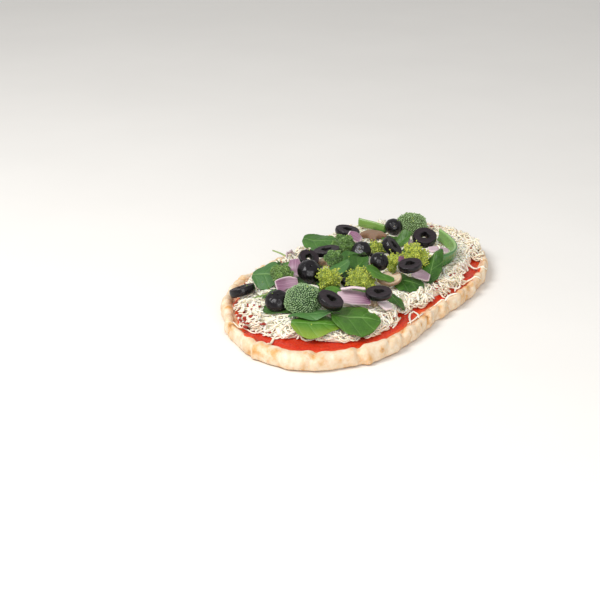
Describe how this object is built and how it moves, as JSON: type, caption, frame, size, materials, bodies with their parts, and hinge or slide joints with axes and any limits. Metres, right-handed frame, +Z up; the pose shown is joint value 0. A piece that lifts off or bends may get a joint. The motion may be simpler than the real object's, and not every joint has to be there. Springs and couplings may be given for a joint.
{
  "type": "vegetable pizza",
  "caption": "Oval hand-stretched pizza with tomato sauce, shredded cheese and a heap of cut vegetables, its rim pinched and lightly browned.",
  "frame": {"origin": "middle of the crust's underside, under the centre of the whole pizza's box", "axes": "+Z up, out of the crust; +X along the crust's length, towards the end with the narrower rim"},
  "size_m": [0.2777, 0.1575, 0.0404],
  "materials": {
    "crust": "baked dough, matte",
    "sauce": "wet tomato sauce",
    "cheese": "shredded cheese, soft satin",
    "olive": "wet black skin",
    "broccoli": "matte green buds",
    "spinach": "leaf, soft sheen",
    "onion": "raw red onion, moist",
    "pepper": "glossy green skin",
    "mushroom": "cut mushroom, matte"
  },
  "bodies": {
    "root": {"broccoli_01": "broccoli", "broccoli_02": "broccoli", "broccoli_03": "broccoli", "broccoli_04": "broccoli", "broccoli_05": "broccoli", "broccoli_06": "broccoli", "broccoli_07": "broccoli", "broccoli_08": "broccoli", "broccoli_09": "broccoli", "broccoli_10": "broccoli", "cheese": "cheese", "crust": "crust", "mushroom_01": "mushroom", "mushroom_02": "mushroom", "mushroom_03": "mushroom", "mushroom_04": "mushroom", "olive_01": "olive", "olive_02": "olive", "olive_03": "olive", "olive_04": "olive", "olive_05": "olive", "olive_06": "olive", "olive_07": "olive", "olive_08": "olive", "olive_09": "olive", "olive_10": "olive", "olive_11": "olive", "olive_12": "olive", "olive_13": "olive", "olive_14": "olive", "olive_15": "olive", "onion_01": "onion", "onion_02": "onion", "onion_03": "onion", "onion_04": "onion", "onion_05": "onion", "onion_06": "onion", "onion_07": "onion", "onion_08": "onion", "onion_09": "onion", "onion_10": "onion", "pepper_01": "pepper", "pepper_02": "pepper", "sauce": "sauce", "spinach_01": "spinach", "spinach_02": "spinach", "spinach_03": "spinach", "spinach_04": "spinach", "spinach_05": "spinach", "spinach_06": "spinach", "spinach_07": "spinach", "spinach_08": "spinach", "spinach_09": "spinach", "spinach_10": "spinach", "spinach_11": "spinach", "spinach_12": "spinach", "spinach_13": "spinach", "spinach_14": "spinach"}
  },
  "joints": []
}
